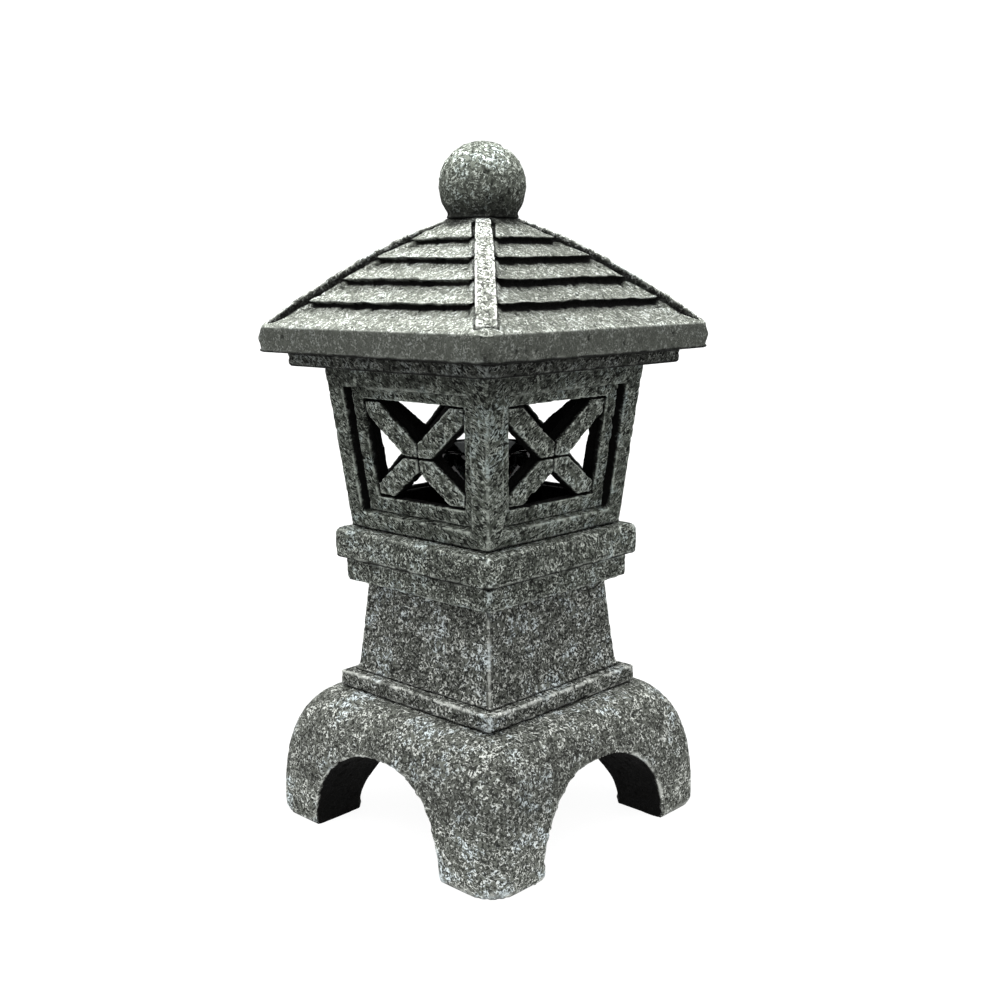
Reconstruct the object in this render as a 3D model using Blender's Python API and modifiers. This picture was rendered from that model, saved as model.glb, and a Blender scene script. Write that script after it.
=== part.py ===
"""Stone garden lantern for one tea light, built up from stacked and bedded stones.

+Z is up and the origin is on the ground, under the middle. The front of the lantern faces -Y.
From the ground up: a four-legged base, a plinth, a post, two platforms, a light box with four
latticed windows, a cornice, a roof of five courses with ribs on its hips, and a ball finial.
The light box lifts off the lower platform, the roof lifts off the light box, and a glass cup
with its tea light lifts out of the light box.
"""

import math

import bmesh
import bpy
from mathutils import Matrix, Vector

MM = 0.001

# Gaps
GAP = 0.3 * MM                 # between stones that touch
JOINT = 0.8 * MM               # open joint between the lattice bars
OVERCUT = 2.0 * MM             # how far a cutter runs past what it cuts

# Base
BASE_HEIGHT = 54.3 * MM
BASE_HALF = 66.3 * MM
BASE_TOP_HALF = 44.6 * MM
BASE_CORNER = 13.0 * MM
SHOULDER_POWER = 2.45          # superellipse that the shoulders follow
SHOULDER_LEVELS = 12
FOOT_ROUNDING = 2.5 * MM
ARCH_HALF = 36.8 * MM
ARCH_HEIGHT = 36.8 * MM
ARCH_POWER = 2.25              # superellipse of the arches, a little squarer than round
HOLLOW_HALF = 56.0 * MM        # dome under the stone, which rounds the inner corner of each leg
HOLLOW_HEIGHT = 34.0 * MM
SOCKET_FLOOR = 44.5 * MM

# Plinth and post
PLINTH_TOP = 61.7 * MM
PLINTH_HALF = 44.5 * MM
POST_TOP = 100.2 * MM
POST_FOOT_HALF = 40.4 * MM
POST_BOTTOM_HALF = 39.0 * MM
POST_TOP_HALF = 35.5 * MM
POST_FLARE = 3.0 * MM
TENON_HALF = 14.0 * MM

# Platforms
LOWER_TOP = 110.4 * MM
LOWER_HALF = 42.0 * MM
UPPER_TOP = 123.5 * MM
UPPER_HALF = 45.6 * MM
UPPER_EDGE = 2.1 * MM
TENON_TOP = 115.4 * MM

# Light box
BOX_TOP = 189.9 * MM
BOX_BOTTOM_HALF = 39.8 * MM
BOX_TOP_HALF = 46.6 * MM
BOX_WALL = 12.5 * MM
ROOM_CORNER = 3.0 * MM
BOSS_HALF = 26.6 * MM          # boss of the platform that fills the foot of the light box
BOX_FLOOR = 126.5 * MM
LIP_HALF = 37.5 * MM
LIP_TOP = 193.4 * MM

# Windows, measured in the sloping wall from the crossing of the lattice
CROSSING_Z = 154.8 * MM
RECESS_DEPTH = 4.0 * MM
LAYER = 3.6 * MM               # thickness of the inner frames and the lattice bars
BAR_SETBACK = 0.5 * MM
RECESS_TOP = 27.4 * MM
RECESS_BOTTOM = -24.3 * MM
RECESS_TOP_HALF = 36.0 * MM
RECESS_BOTTOM_HALF = 31.5 * MM
OPENING_TOP = 22.4 * MM
OPENING_BOTTOM = -17.9 * MM
OPENING_TOP_HALF = 29.0 * MM
OPENING_BOTTOM_HALF = 25.0 * MM
BAR_HALF = 4.5 * MM
WEB_HALF = 4.0 * MM
WEB_OPENING = 1.2 * MM         # how far the openings behind run past the inner frame

# Cornice and roof
CORNICE_HALF = 56.9 * MM
CORNICE_TOP = 196.1 * MM
EAVE_HALF = 66.4 * MM
EAVE_TOP = 207.2 * MM
EAVE_CORNER = 5.0 * MM
COURSE_LIPS = ((53.3 * MM, 216.6 * MM), (43.6 * MM, 225.2 * MM),
               (34.0 * MM, 233.2 * MM), (23.6 * MM, 240.3 * MM))
LIP_THICKNESS = 0.8 * MM
GROOVE_DEPTH = 2.6 * MM
GROOVE_HEIGHT = 2.0 * MM
ROOF_TOP = 248.2 * MM
ROOF_TOP_HALF = 12.0 * MM
ATTIC_TOP = 212.0 * MM
ATTIC_HALF = 31.0 * MM
ATTIC_TOP_HALF = 22.0 * MM

# Hip ribs, as distance out along a hip (per axis) and height of the rib's back
RIB_BACK = ((61.2 * MM, 209.3 * MM), (53.6 * MM, 217.0 * MM), (44.4 * MM, 224.9 * MM),
            (34.0 * MM, 233.7 * MM), (23.0 * MM, 241.4 * MM), (10.9 * MM, 248.2 * MM))
RIB_THICKNESS = 4.5 * MM
RIB_HALF = 4.0 * MM

# Finial
BALL_CENTRE = 260.8 * MM
BALL_RADIUS = 17.8 * MM
COLLAR_RADIUS = 14.6 * MM
COLLAR_HEIGHT = 1.6 * MM
PIN_RADIUS = 6.0 * MM
PIN_LENGTH = 9.0 * MM

# Candle
CUP_RADIUS = 23.5 * MM
CUP_HEIGHT = 30.0 * MM
CUP_WALL = 2.2 * MM
CUP_FLOOR = 3.0 * MM
TEALIGHT_RADIUS = 19.0 * MM
TEALIGHT_HEIGHT = 16.0 * MM
TEALIGHT_SHEET = 0.6 * MM
WAX_HEIGHT = 12.5 * MM
WICK_RADIUS = 0.7 * MM
WICK_LENGTH = 12.0 * MM
WICK_DEPTH = 6.0 * MM

# Detail of the meshes
CORNER_STEPS = 4
ROUND_STEPS = 40
ARCH_STEPS = 64

# Finishes: colour, roughness, metallic, transmission
STONE = ((0.16, 0.17, 0.15), 0.9, 0.0, 0.0)
DARK_STONE = ((0.11, 0.12, 0.10), 0.92, 0.0, 0.0)
PALE_STONE = ((0.33, 0.34, 0.31), 0.9, 0.0, 0.0)
GLASS = ((0.10, 0.11, 0.11), 0.05, 0.0, 1.0)
ALUMINIUM = ((0.78, 0.78, 0.80), 0.3, 1.0, 0.0)
WAX = ((0.90, 0.88, 0.82), 0.5, 0.0, 0.0)
COTTON = ((0.75, 0.72, 0.65), 0.95, 0.0, 0.0)

WALLS = ("front", "right", "back", "left")
CORNERS = (("top_left", -1, 1), ("top_right", 1, 1),
           ("bottom_left", -1, -1), ("bottom_right", 1, -1))


# ---------------------------------------------------------------- scene and objects

def clear_scene():
    for obj in list(bpy.data.objects):
        bpy.data.objects.remove(obj, do_unlink=True)


def make_collection(name):
    collection = bpy.data.collections.new(name)
    bpy.context.scene.collection.children.link(collection)
    return collection


def finish_material(name, finish):
    colour, roughness, metallic, transmission = finish
    material = bpy.data.materials.new(name + "_finish")
    material.use_nodes = True
    shader = material.node_tree.nodes["Principled BSDF"]
    shader.inputs["Base Color"].default_value = (*colour, 1.0)
    shader.inputs["Roughness"].default_value = roughness
    shader.inputs["Metallic"].default_value = metallic
    shader.inputs["Transmission Weight"].default_value = transmission
    material.diffuse_color = (*colour, 1.0)
    return material


def make_empty(name, matrix, parent=None):
    empty = bpy.data.objects.new(name, None)
    empty.empty_display_size = 10 * MM
    parts.objects.link(empty)
    empty.parent = parent
    empty.matrix_local = matrix
    return empty


def make_part(name, bm, finish, parent=None):
    """Turn a bmesh into a named part whose mesh is written in its parent's frame."""
    mesh = bpy.data.meshes.new(name)
    bmesh.ops.recalc_face_normals(bm, faces=bm.faces)
    bm.to_mesh(mesh)
    bm.free()
    mesh.materials.append(finish_material(name, finish))
    part = bpy.data.objects.new(name, mesh)
    parts.objects.link(part)
    part.parent = parent
    return part


def make_cutter(name, bm, matrix=None):
    mesh = bpy.data.meshes.new(name)
    bmesh.ops.recalc_face_normals(bm, faces=bm.faces)
    bm.to_mesh(mesh)
    bm.free()
    cutter = bpy.data.objects.new(name, mesh)
    cutters.objects.link(cutter)
    cutter.hide_render = True
    cutter.display_type = "WIRE"
    if matrix is not None:
        cutter.matrix_world = matrix
    return cutter


def combine(part, other, operation):
    modifier = part.modifiers.new(operation.lower() + "_" + other.name, "BOOLEAN")
    modifier.operation = operation
    modifier.object = other


def attach(part, parent):
    """Parent a part without moving it."""
    part.parent = parent
    part.matrix_parent_inverse = parent.matrix_world.inverted()


def soften(part, width):
    modifier = part.modifiers.new("soft_edges", "BEVEL")
    modifier.width = width
    modifier.segments = 1
    modifier.limit_method = "ANGLE"
    modifier.angle_limit = math.radians(60)


def smooth(part):
    part.data.shade_smooth()
    part.data.set_sharp_from_angle(angle=math.radians(35))


# ---------------------------------------------------------------- shapes

def square_ring(bm, z, half, radius):
    """Vertices of a square with rounded corners, anticlockwise from above."""
    ring = []
    for corner in range(4):
        start = corner * math.pi / 2
        centre = Vector((math.cos(start + math.pi / 4), math.sin(start + math.pi / 4)))
        centre = centre * (half - radius) * math.sqrt(2)
        for step in range(CORNER_STEPS + 1):
            angle = start + step / CORNER_STEPS * math.pi / 2
            ring.append(bm.verts.new((centre.x + radius * math.cos(angle),
                                      centre.y + radius * math.sin(angle), z)))
    return ring


def loft(levels):
    """A closed block through square rings, each given as (height, half width, corner radius)."""
    bm = bmesh.new()
    rings = [square_ring(bm, *level) for level in levels]
    for lower, upper in zip(rings, rings[1:]):
        for i in range(len(lower)):
            j = (i + 1) % len(lower)
            bm.faces.new((lower[i], lower[j], upper[j], upper[i]))
    bm.faces.new(reversed(rings[0]))
    bm.faces.new(rings[-1])
    return bm


def box(half, low, high):
    """A square block on the axis of the lantern."""
    bm = bmesh.new()
    size = Matrix.Diagonal((2 * half, 2 * half, high - low, 1))
    bmesh.ops.create_cube(bm, size=1, matrix=Matrix.Translation((0, 0, (low + high) / 2)) @ size)
    return bm


def prism(outline, near, far):
    """An outline in the XZ plane, filled and pulled from y = near to y = far."""
    bm = bmesh.new()
    face = bm.faces.new([bm.verts.new((x, near, z)) for x, z in outline])
    pulled = bmesh.ops.extrude_face_region(bm, geom=[face])["geom"]
    moved = [item for item in pulled if isinstance(item, bmesh.types.BMVert)]
    bmesh.ops.translate(bm, verts=moved, vec=(0, far - near, 0))
    return bm


def cylinder(radius, low, high):
    bm = bmesh.new()
    middle = Matrix.Translation((0, 0, (low + high) / 2))
    bmesh.ops.create_cone(bm, cap_ends=True, segments=ROUND_STEPS, radius1=radius,
                          radius2=radius, depth=high - low, matrix=middle)
    return bm


def turned(name, profile, finish, steps=ROUND_STEPS):
    """A profile of (radius, height) points, outer side first from the top, turned about Z."""
    bm = bmesh.new()
    points = [bm.verts.new((r, 0, z)) for r, z in profile]
    for a, b in zip(points, points[1:]):
        bm.edges.new((a, b))
    mesh = bpy.data.meshes.new(name)
    bm.to_mesh(mesh)
    bm.free()
    mesh.materials.append(finish_material(name, finish))
    part = bpy.data.objects.new(name, mesh)
    parts.objects.link(part)
    screw = part.modifiers.new("turn", "SCREW")
    screw.steps = steps
    screw.render_steps = steps
    screw.use_merge_vertices = True
    screw.merge_threshold = 0.00001
    screw.use_smooth_shade = True
    return part


def trapezium(top, bottom, top_half, bottom_half, inset=0.0):
    """Outline of a window shape that widens upwards, anticlockwise, drawn in by inset."""
    shape = [(-bottom_half, bottom), (bottom_half, bottom), (top_half, top), (-top_half, top)]
    return inset_outline(shape, inset)


def clip(outline, point, direction):
    """Keep the part of a convex outline that lies behind the line through point."""
    side = [(Vector(p) - Vector(point)).dot(Vector(direction)) for p in outline]
    kept = []
    for i, here in enumerate(outline):
        j = (i + 1) % len(outline)
        if side[i] <= 0:
            kept.append(here)
        if side[i] * side[j] < 0:
            share = side[i] / (side[i] - side[j])
            kept.append(tuple(Vector(here).lerp(Vector(outline[j]), share)))
    return kept


def inset_outline(outline, inset):
    """Move every side of a convex anticlockwise outline inwards, or outwards if inset < 0."""
    middle = sum((Vector(p) for p in outline), Vector((0, 0))) / len(outline)
    result = [tuple(middle + (Vector(p) - middle) * 2) for p in outline]
    for i, here in enumerate(outline):
        along = (Vector(outline[(i + 1) % len(outline)]) - Vector(here)).normalized()
        outwards = Vector((along.y, -along.x))
        result = clip(result, Vector(here) - outwards * inset, outwards)
    return result


# ---------------------------------------------------------------- base to platforms

def shoulder_levels():
    """Rings of the base: a softly rounded foot, then sides that roll over into the shoulders."""
    levels = [(0.0, BASE_HALF - FOOT_ROUNDING, BASE_CORNER - FOOT_ROUNDING),
              (0.3 * FOOT_ROUNDING, BASE_HALF - 0.3 * FOOT_ROUNDING, BASE_CORNER)]
    for step in range(SHOULDER_LEVELS + 1):
        turn = step / SHOULDER_LEVELS * math.pi / 2
        share = math.sin(turn) ** (2 / SHOULDER_POWER)
        reach = math.cos(turn) ** (2 / SHOULDER_POWER) if step < SHOULDER_LEVELS else 0.0
        z = FOOT_ROUNDING + (BASE_HEIGHT - FOOT_ROUNDING) * share
        levels.append((z, BASE_TOP_HALF + (BASE_HALF - BASE_TOP_HALF) * reach, BASE_CORNER))
    return levels


def arch_outline():
    """Outline of the opening between two legs, run down past the ground."""
    outline = [(-ARCH_HALF, -OVERCUT), (ARCH_HALF, -OVERCUT)]
    for step in range(ARCH_STEPS // 2 + 1):
        turn = step / (ARCH_STEPS // 2) * math.pi
        across = math.copysign(abs(math.cos(turn)) ** (2 / ARCH_POWER), math.cos(turn))
        outline.append((ARCH_HALF * across, ARCH_HEIGHT * math.sin(turn) ** (2 / ARCH_POWER)))
    return outline


def build_base():
    base = make_part("base", loft(shoulder_levels()), STONE)
    for axis, angle in (("Y", 0.0), ("X", math.pi / 2)):
        arch = prism(arch_outline(), -BASE_HALF - OVERCUT, BASE_HALF + OVERCUT)
        turn = Matrix.Rotation(angle, 4, "Z")
        combine(base, make_cutter("arch_along_" + axis, arch, turn), "DIFFERENCE")
    hollow = bmesh.new()
    squash = Matrix.Diagonal((HOLLOW_HALF, HOLLOW_HALF, HOLLOW_HEIGHT, 1))
    bmesh.ops.create_uvsphere(hollow, u_segments=ARCH_STEPS, v_segments=ARCH_STEPS // 2,
                              radius=1.0, matrix=squash)
    combine(base, make_cutter("base_hollow", hollow), "DIFFERENCE")
    socket = make_cutter("base_socket",
                         box(TENON_HALF + GAP, SOCKET_FLOOR, BASE_HEIGHT + OVERCUT))
    combine(base, socket, "DIFFERENCE")
    smooth(base)


def build_plinth():
    edge = 0.8 * MM
    plinth = make_part("plinth", loft([
        (BASE_HEIGHT + GAP, PLINTH_HALF, edge),
        (PLINTH_TOP - edge, PLINTH_HALF, edge),
        (PLINTH_TOP, PLINTH_HALF - edge, edge)]), STONE)
    hole = make_cutter("plinth_hole",
                       box(TENON_HALF + GAP, BASE_HEIGHT - OVERCUT, PLINTH_TOP + OVERCUT))
    combine(plinth, hole, "DIFFERENCE")


def build_post():
    edge = 1.0 * MM
    bottom = PLINTH_TOP + GAP
    post = make_part("post", loft([
        (bottom, POST_FOOT_HALF, edge),
        (bottom + 0.4 * POST_FLARE, POST_BOTTOM_HALF + 0.3 * MM, edge),
        (bottom + POST_FLARE, POST_BOTTOM_HALF - 0.2 * MM, edge),
        (POST_TOP, POST_TOP_HALF, edge)]), STONE)
    tenon = make_cutter("post_tenon", box(TENON_HALF, SOCKET_FLOOR + GAP, TENON_TOP))
    combine(post, tenon, "UNION")


def build_lower_platform():
    edge = 0.8 * MM
    slab = make_part("lower_platform", loft([
        (POST_TOP + GAP, LOWER_HALF - edge, edge),
        (POST_TOP + GAP + edge, LOWER_HALF, edge),
        (LOWER_TOP - edge, LOWER_HALF, edge),
        (LOWER_TOP, LOWER_HALF - edge, edge)]), STONE)
    hole = make_cutter("lower_platform_hole",
                       box(TENON_HALF + GAP, POST_TOP - OVERCUT, LOWER_TOP + OVERCUT))
    combine(slab, hole, "DIFFERENCE")


def build_upper_platform(fire_box):
    edge = 0.8 * MM
    corner = 3.5 * MM
    slab = make_part("upper_platform", loft([
        (LOWER_TOP + GAP, UPPER_HALF - edge, corner - edge),
        (LOWER_TOP + GAP + edge, UPPER_HALF, corner),
        (UPPER_TOP - UPPER_EDGE, UPPER_HALF, corner),
        (UPPER_TOP - 0.3 * UPPER_EDGE, UPPER_HALF - 0.3 * UPPER_EDGE, corner),
        (UPPER_TOP, UPPER_HALF - UPPER_EDGE, corner)]), STONE)
    under = make_cutter("upper_platform_under",
                        box(TENON_HALF + GAP, LOWER_TOP - OVERCUT, TENON_TOP + GAP))
    boss = make_cutter("upper_platform_boss", loft([
        (UPPER_TOP - OVERCUT, BOSS_HALF, ROOM_CORNER),
        (BOX_FLOOR, BOSS_HALF, ROOM_CORNER)]))
    combine(slab, under, "DIFFERENCE")
    combine(slab, boss, "UNION")
    attach(slab, fire_box)


# ---------------------------------------------------------------- light box

def box_half(z):
    """Half width of the light box's outside at a height."""
    share = (z - UPPER_TOP) / (BOX_TOP - UPPER_TOP)
    return BOX_BOTTOM_HALF + (BOX_TOP_HALF - BOX_BOTTOM_HALF) * share


def wall_matrix(turns):
    """Frame of one wall: X along it, Z up its slope from the crossing, Y into the wall."""
    lean = math.atan((BOX_TOP_HALF - BOX_BOTTOM_HALF) / (BOX_TOP - UPPER_TOP))
    place = Matrix.Translation((0, -box_half(CROSSING_Z), CROSSING_Z))
    return Matrix.Rotation(turns * math.pi / 2, 4, "Z") @ place @ Matrix.Rotation(lean, 4, "X")


def recess_outline(inset=0.0):
    return trapezium(RECESS_TOP, RECESS_BOTTOM, RECESS_TOP_HALF, RECESS_BOTTOM_HALF, inset)


def opening_outline(inset=0.0):
    return trapezium(OPENING_TOP, OPENING_BOTTOM, OPENING_TOP_HALF, OPENING_BOTTOM_HALF, inset)


def bar_direction(side, level):
    """Direction from the crossing to one corner of the opening."""
    corner = ((side * OPENING_TOP_HALF, OPENING_TOP) if level > 0
              else (side * OPENING_BOTTOM_HALF, OPENING_BOTTOM))
    return Vector(corner).normalized()


def light_outlines():
    """The four triangles between the arms of the lattice's web."""
    triangles = []
    opening = opening_outline(-WEB_OPENING)
    for arms in (((-1, 1), (1, 1)), ((1, 1), (1, -1)), ((1, -1), (-1, -1)), ((-1, -1), (-1, 1))):
        middle = sum((bar_direction(*arm) for arm in arms), Vector((0, 0)))
        outline = opening
        for arm in arms:
            along = bar_direction(*arm)
            across = Vector((along.y, -along.x))
            if across.dot(middle) > 0:
                across = -across
            outline = clip(outline, -across * WEB_HALF, across)
        triangles.append(outline)
    return triangles


def build_light_box(fire_box):
    shell = make_part("light_box", loft([
        (UPPER_TOP + GAP, BOX_BOTTOM_HALF, 1.0 * MM),
        (BOX_TOP, BOX_TOP_HALF, 1.0 * MM)]), DARK_STONE)
    lip = make_cutter("light_box_lip", box(LIP_HALF, BOX_TOP - OVERCUT, LIP_TOP))
    room = make_cutter("light_box_room", loft([
        (z, box_half(z) - BOX_WALL, ROOM_CORNER)
        for z in (UPPER_TOP - OVERCUT, LIP_TOP + OVERCUT)]))
    combine(shell, lip, "UNION")
    combine(shell, room, "DIFFERENCE")
    for turns, wall in enumerate(WALLS):
        frame = wall_matrix(turns)
        recess = prism(recess_outline(), -OVERCUT * 2, RECESS_DEPTH + LAYER + GAP)
        combine(shell, make_cutter("recess_" + wall, recess, frame), "DIFFERENCE")
        for index, outline in enumerate(light_outlines()):
            light = prism(outline, 0.0, BOX_WALL + 4 * MM)
            name = "light_" + wall + "_" + str(index)
            combine(shell, make_cutter(name, light, frame), "DIFFERENCE")
    attach(shell, fire_box)


def build_window(turns, wall, fire_box):
    """The inner frame of one window and the four bars of its lattice."""
    local = fire_box.matrix_world.inverted() @ wall_matrix(turns)
    holder = make_empty("wall_" + wall, local, fire_box)
    frame = make_part("window_frame_" + wall,
                      prism(recess_outline(GAP), RECESS_DEPTH, RECESS_DEPTH + LAYER),
                      DARK_STONE, holder)
    opening = make_cutter("opening_" + wall,
                          prism(opening_outline(), 0.0, RECESS_DEPTH + LAYER + OVERCUT),
                          wall_matrix(turns))
    combine(frame, opening, "DIFFERENCE")
    for corner, side, level in CORNERS:
        bar = prism(bar_outline(side, level), RECESS_DEPTH + BAR_SETBACK, RECESS_DEPTH + LAYER)
        make_part("lattice_bar_" + wall + "_" + corner, bar, DARK_STONE, holder)


def bar_outline(side, level):
    """A bar from the crossing to one corner, cut square to its neighbours at both ends."""
    along = bar_direction(side, level)
    across = Vector((-along.y, along.x)) * BAR_HALF
    reach = along * 2 * OPENING_TOP_HALF
    outline = [tuple(-across), tuple(reach - across), tuple(reach + across), tuple(across)]
    outline = clip(outline, (side * JOINT / 2, 0), (-side, 0))
    outline = clip(outline, (0, level * JOINT / 2), (0, -level))
    hole = opening_outline(JOINT)
    for i, here in enumerate(hole):
        edge = Vector(hole[(i + 1) % len(hole)]) - Vector(here)
        outline = clip(outline, here, (edge.y, -edge.x))
    return outline


# ---------------------------------------------------------------- roof

def build_cornice(roof_body):
    edge = 0.9 * MM
    cornice = make_part("cornice", loft([
        (BOX_TOP + GAP, CORNICE_HALF - edge, edge),
        (BOX_TOP + GAP + edge, CORNICE_HALF, edge),
        (CORNICE_TOP - GAP, CORNICE_HALF, edge)]), DARK_STONE)
    hole = make_cutter("cornice_hole",
                       box(LIP_HALF + GAP, BOX_TOP - OVERCUT, CORNICE_TOP + OVERCUT))
    combine(cornice, hole, "DIFFERENCE")
    attach(cornice, roof_body)


def roof_levels():
    """Rings of the roof: the fascia, then five courses that each overhang the one below."""
    edge = 0.9 * MM
    levels = [(CORNICE_TOP, EAVE_HALF - edge, EAVE_CORNER - edge),
              (CORNICE_TOP + edge, EAVE_HALF, EAVE_CORNER),
              (EAVE_TOP - edge, EAVE_HALF, EAVE_CORNER),
              (EAVE_TOP, EAVE_HALF - edge, EAVE_CORNER - edge)]
    for half, z in COURSE_LIPS:
        corner = 2.0 * MM
        levels.append((z - GROOVE_HEIGHT, half - GROOVE_DEPTH, corner))
        levels.append((z - LIP_THICKNESS, half, corner))
        levels.append((z, half, corner))
    levels.append((ROOF_TOP, ROOF_TOP_HALF, 2.0 * MM))
    return levels


def rib_outline(grow=0.0):
    """Side view of a hip rib, with x as the distance out along the hip."""
    back = [(x * math.sqrt(2), z) for x, z in RIB_BACK]
    back[0] = (back[0][0] + grow, back[0][1])
    back[-1] = (back[-1][0] - grow, back[-1][1])
    above = OVERCUT if grow else 0.0
    over = [(x, z + above) for x, z in back]
    under = [(x, z - RIB_THICKNESS - grow) for x, z in reversed(back)]
    return over + under


def build_roof(roof_body):
    roof = make_part("roof", loft(roof_levels()), PALE_STONE)
    attic = make_cutter("attic", loft([
        (CORNICE_TOP - OVERCUT, ATTIC_HALF, ROOM_CORNER),
        (ATTIC_TOP, ATTIC_TOP_HALF, ROOM_CORNER)]))
    combine(roof, attic, "DIFFERENCE")
    pin_hole = make_cutter("pin_hole", cylinder(PIN_RADIUS + GAP, ROOF_TOP - PIN_LENGTH - GAP,
                                                ROOF_TOP + OVERCUT))
    combine(roof, pin_hole, "DIFFERENCE")
    for turns, name in enumerate(("front_right", "back_right", "back_left", "front_left")):
        turn = Matrix.Rotation(turns * math.pi / 2 - math.pi / 4, 4, "Z")
        seat = prism(rib_outline(GAP), -RIB_HALF - GAP, RIB_HALF + GAP)
        combine(roof, make_cutter("rib_seat_" + name, seat, turn), "DIFFERENCE")
        rib = prism(rib_outline(), -RIB_HALF, RIB_HALF)
        bmesh.ops.transform(rib, matrix=turn, verts=rib.verts)
        rib = make_part("hip_rib_" + name, rib, PALE_STONE)
        soften(rib, 0.6 * MM)
        attach(rib, roof_body)
    attach(roof, roof_body)


def build_finial(roof_body):
    """Ball on a low collar, with a pin that is bedded in the roof."""
    collar_bottom = ROOF_TOP + GAP
    neck = math.asin((BALL_CENTRE - collar_bottom - COLLAR_HEIGHT) / BALL_RADIUS)
    steps = 16
    profile = []
    for step in range(steps + 1):
        angle = math.pi / 2 - (math.pi / 2 + neck) * step / steps
        profile.append((BALL_RADIUS * math.cos(angle), BALL_CENTRE + BALL_RADIUS * math.sin(angle)))
    profile[0] = (0.0, BALL_CENTRE + BALL_RADIUS)
    profile += [(COLLAR_RADIUS, collar_bottom + COLLAR_HEIGHT * 0.5),
                (COLLAR_RADIUS, collar_bottom),
                (PIN_RADIUS, collar_bottom),
                (PIN_RADIUS, ROOF_TOP - PIN_LENGTH),
                (0.0, ROOF_TOP - PIN_LENGTH)]
    attach(turned("finial", profile, STONE), roof_body)


# ---------------------------------------------------------------- candle

def vessel_profile(radius, height, wall, floor, rim, bottom):
    """Profile of a round cup: from its inside floor, over the rim, down and under."""
    inside = radius - wall
    top = bottom + height
    return [(0.0, bottom + floor), (inside, bottom + floor),
            (inside, top - rim), (inside + rim, top), (radius - rim, top), (radius, top - rim),
            (radius, bottom + 2 * rim), (radius - 2 * rim, bottom), (0.0, bottom)]


def build_candle(tea_light):
    cup_bottom = BOX_FLOOR + GAP
    cup = turned("candle_cup", vessel_profile(CUP_RADIUS, CUP_HEIGHT, CUP_WALL, CUP_FLOOR,
                                              0.7 * MM, cup_bottom), GLASS)
    case_bottom = cup_bottom + CUP_FLOOR + GAP
    case = turned("tealight_case", vessel_profile(TEALIGHT_RADIUS, TEALIGHT_HEIGHT,
                                                  TEALIGHT_SHEET, TEALIGHT_SHEET,
                                                  0.15 * MM, case_bottom), ALUMINIUM)
    wax_bottom = case_bottom + TEALIGHT_SHEET + GAP
    wax_top = wax_bottom + WAX_HEIGHT
    wax_radius = TEALIGHT_RADIUS - TEALIGHT_SHEET - GAP
    hole_radius = WICK_RADIUS + GAP
    wax = turned("wax", [
        (0.0, wax_top - WICK_DEPTH - GAP), (hole_radius, wax_top - WICK_DEPTH - GAP),
        (hole_radius, wax_top), (wax_radius, wax_top),
        (wax_radius, wax_bottom), (0.0, wax_bottom)], WAX)
    wick_bottom = wax_top - WICK_DEPTH
    wick = turned("wick", [
        (0.0, wick_bottom + WICK_LENGTH), (WICK_RADIUS, wick_bottom + WICK_LENGTH),
        (WICK_RADIUS, wick_bottom), (0.0, wick_bottom)], COTTON, steps=12)
    for part in (cup, case, wax, wick):
        attach(part, tea_light)


# ---------------------------------------------------------------- assembly

def build_lantern():
    fire_box = make_empty("fire_box_lift", Matrix.Translation((0, 0, LOWER_TOP)))
    roof_body = make_empty("roof_lift", Matrix.Translation((0, 0, BOX_TOP)))
    tea_light = make_empty("tea_light_lift", Matrix.Translation((0, 0, BOX_FLOOR)))
    bpy.context.view_layer.update()
    build_base()
    build_plinth()
    build_post()
    build_lower_platform()
    build_upper_platform(fire_box)
    build_light_box(fire_box)
    for turns, wall in enumerate(WALLS):
        build_window(turns, wall, fire_box)
    build_cornice(roof_body)
    build_roof(roof_body)
    build_finial(roof_body)
    build_candle(tea_light)
    bpy.context.view_layer.update()


clear_scene()
parts = make_collection("stone_lantern")
cutters = make_collection("cutters")
build_lantern()
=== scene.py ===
"""Looks of the stone lantern: weathered stones, a lattice with worn edges and a tea light.

Every stone is remeshed from its own CAD solid, worn along its edges, roughened and chipped with
repeatable noise, and coloured by a procedural stone material that reads four painted values of
its vertices: painted top light with bleaching on faces that look up, edges rubbed pale, darkening
in hollows, and painted shade (black in recesses and tunnels, under lips, eaves and the ball, and
in the joints).
"""

import math

import bmesh
import bpy
import numpy as np
from mathutils import Matrix, Vector


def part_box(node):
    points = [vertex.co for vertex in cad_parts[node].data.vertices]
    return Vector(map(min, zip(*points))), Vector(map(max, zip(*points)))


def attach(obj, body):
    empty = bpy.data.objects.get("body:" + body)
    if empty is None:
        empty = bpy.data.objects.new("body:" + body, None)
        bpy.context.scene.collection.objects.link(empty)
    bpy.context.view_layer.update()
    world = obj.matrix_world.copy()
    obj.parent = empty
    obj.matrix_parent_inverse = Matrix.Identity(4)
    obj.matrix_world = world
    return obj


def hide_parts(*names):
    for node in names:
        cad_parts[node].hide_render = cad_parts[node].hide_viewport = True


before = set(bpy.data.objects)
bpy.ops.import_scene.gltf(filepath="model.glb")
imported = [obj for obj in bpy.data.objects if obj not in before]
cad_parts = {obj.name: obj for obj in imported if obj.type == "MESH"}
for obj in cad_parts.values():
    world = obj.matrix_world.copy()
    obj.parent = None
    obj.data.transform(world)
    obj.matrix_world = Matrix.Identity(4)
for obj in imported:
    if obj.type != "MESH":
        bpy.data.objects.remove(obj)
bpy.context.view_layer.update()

MM = 0.001
WALLS = ("front", "right", "back", "left")
CORNERS = ("top_left", "top_right", "bottom_left", "bottom_right")
HIPS = ("front_right", "back_right", "back_left", "front_left")
COARSE = 1.0
SHADE_BLACK = (0.002, 0.002, 0.0018)


# ---------------------------------------------------------------- repeatable noise

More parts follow.
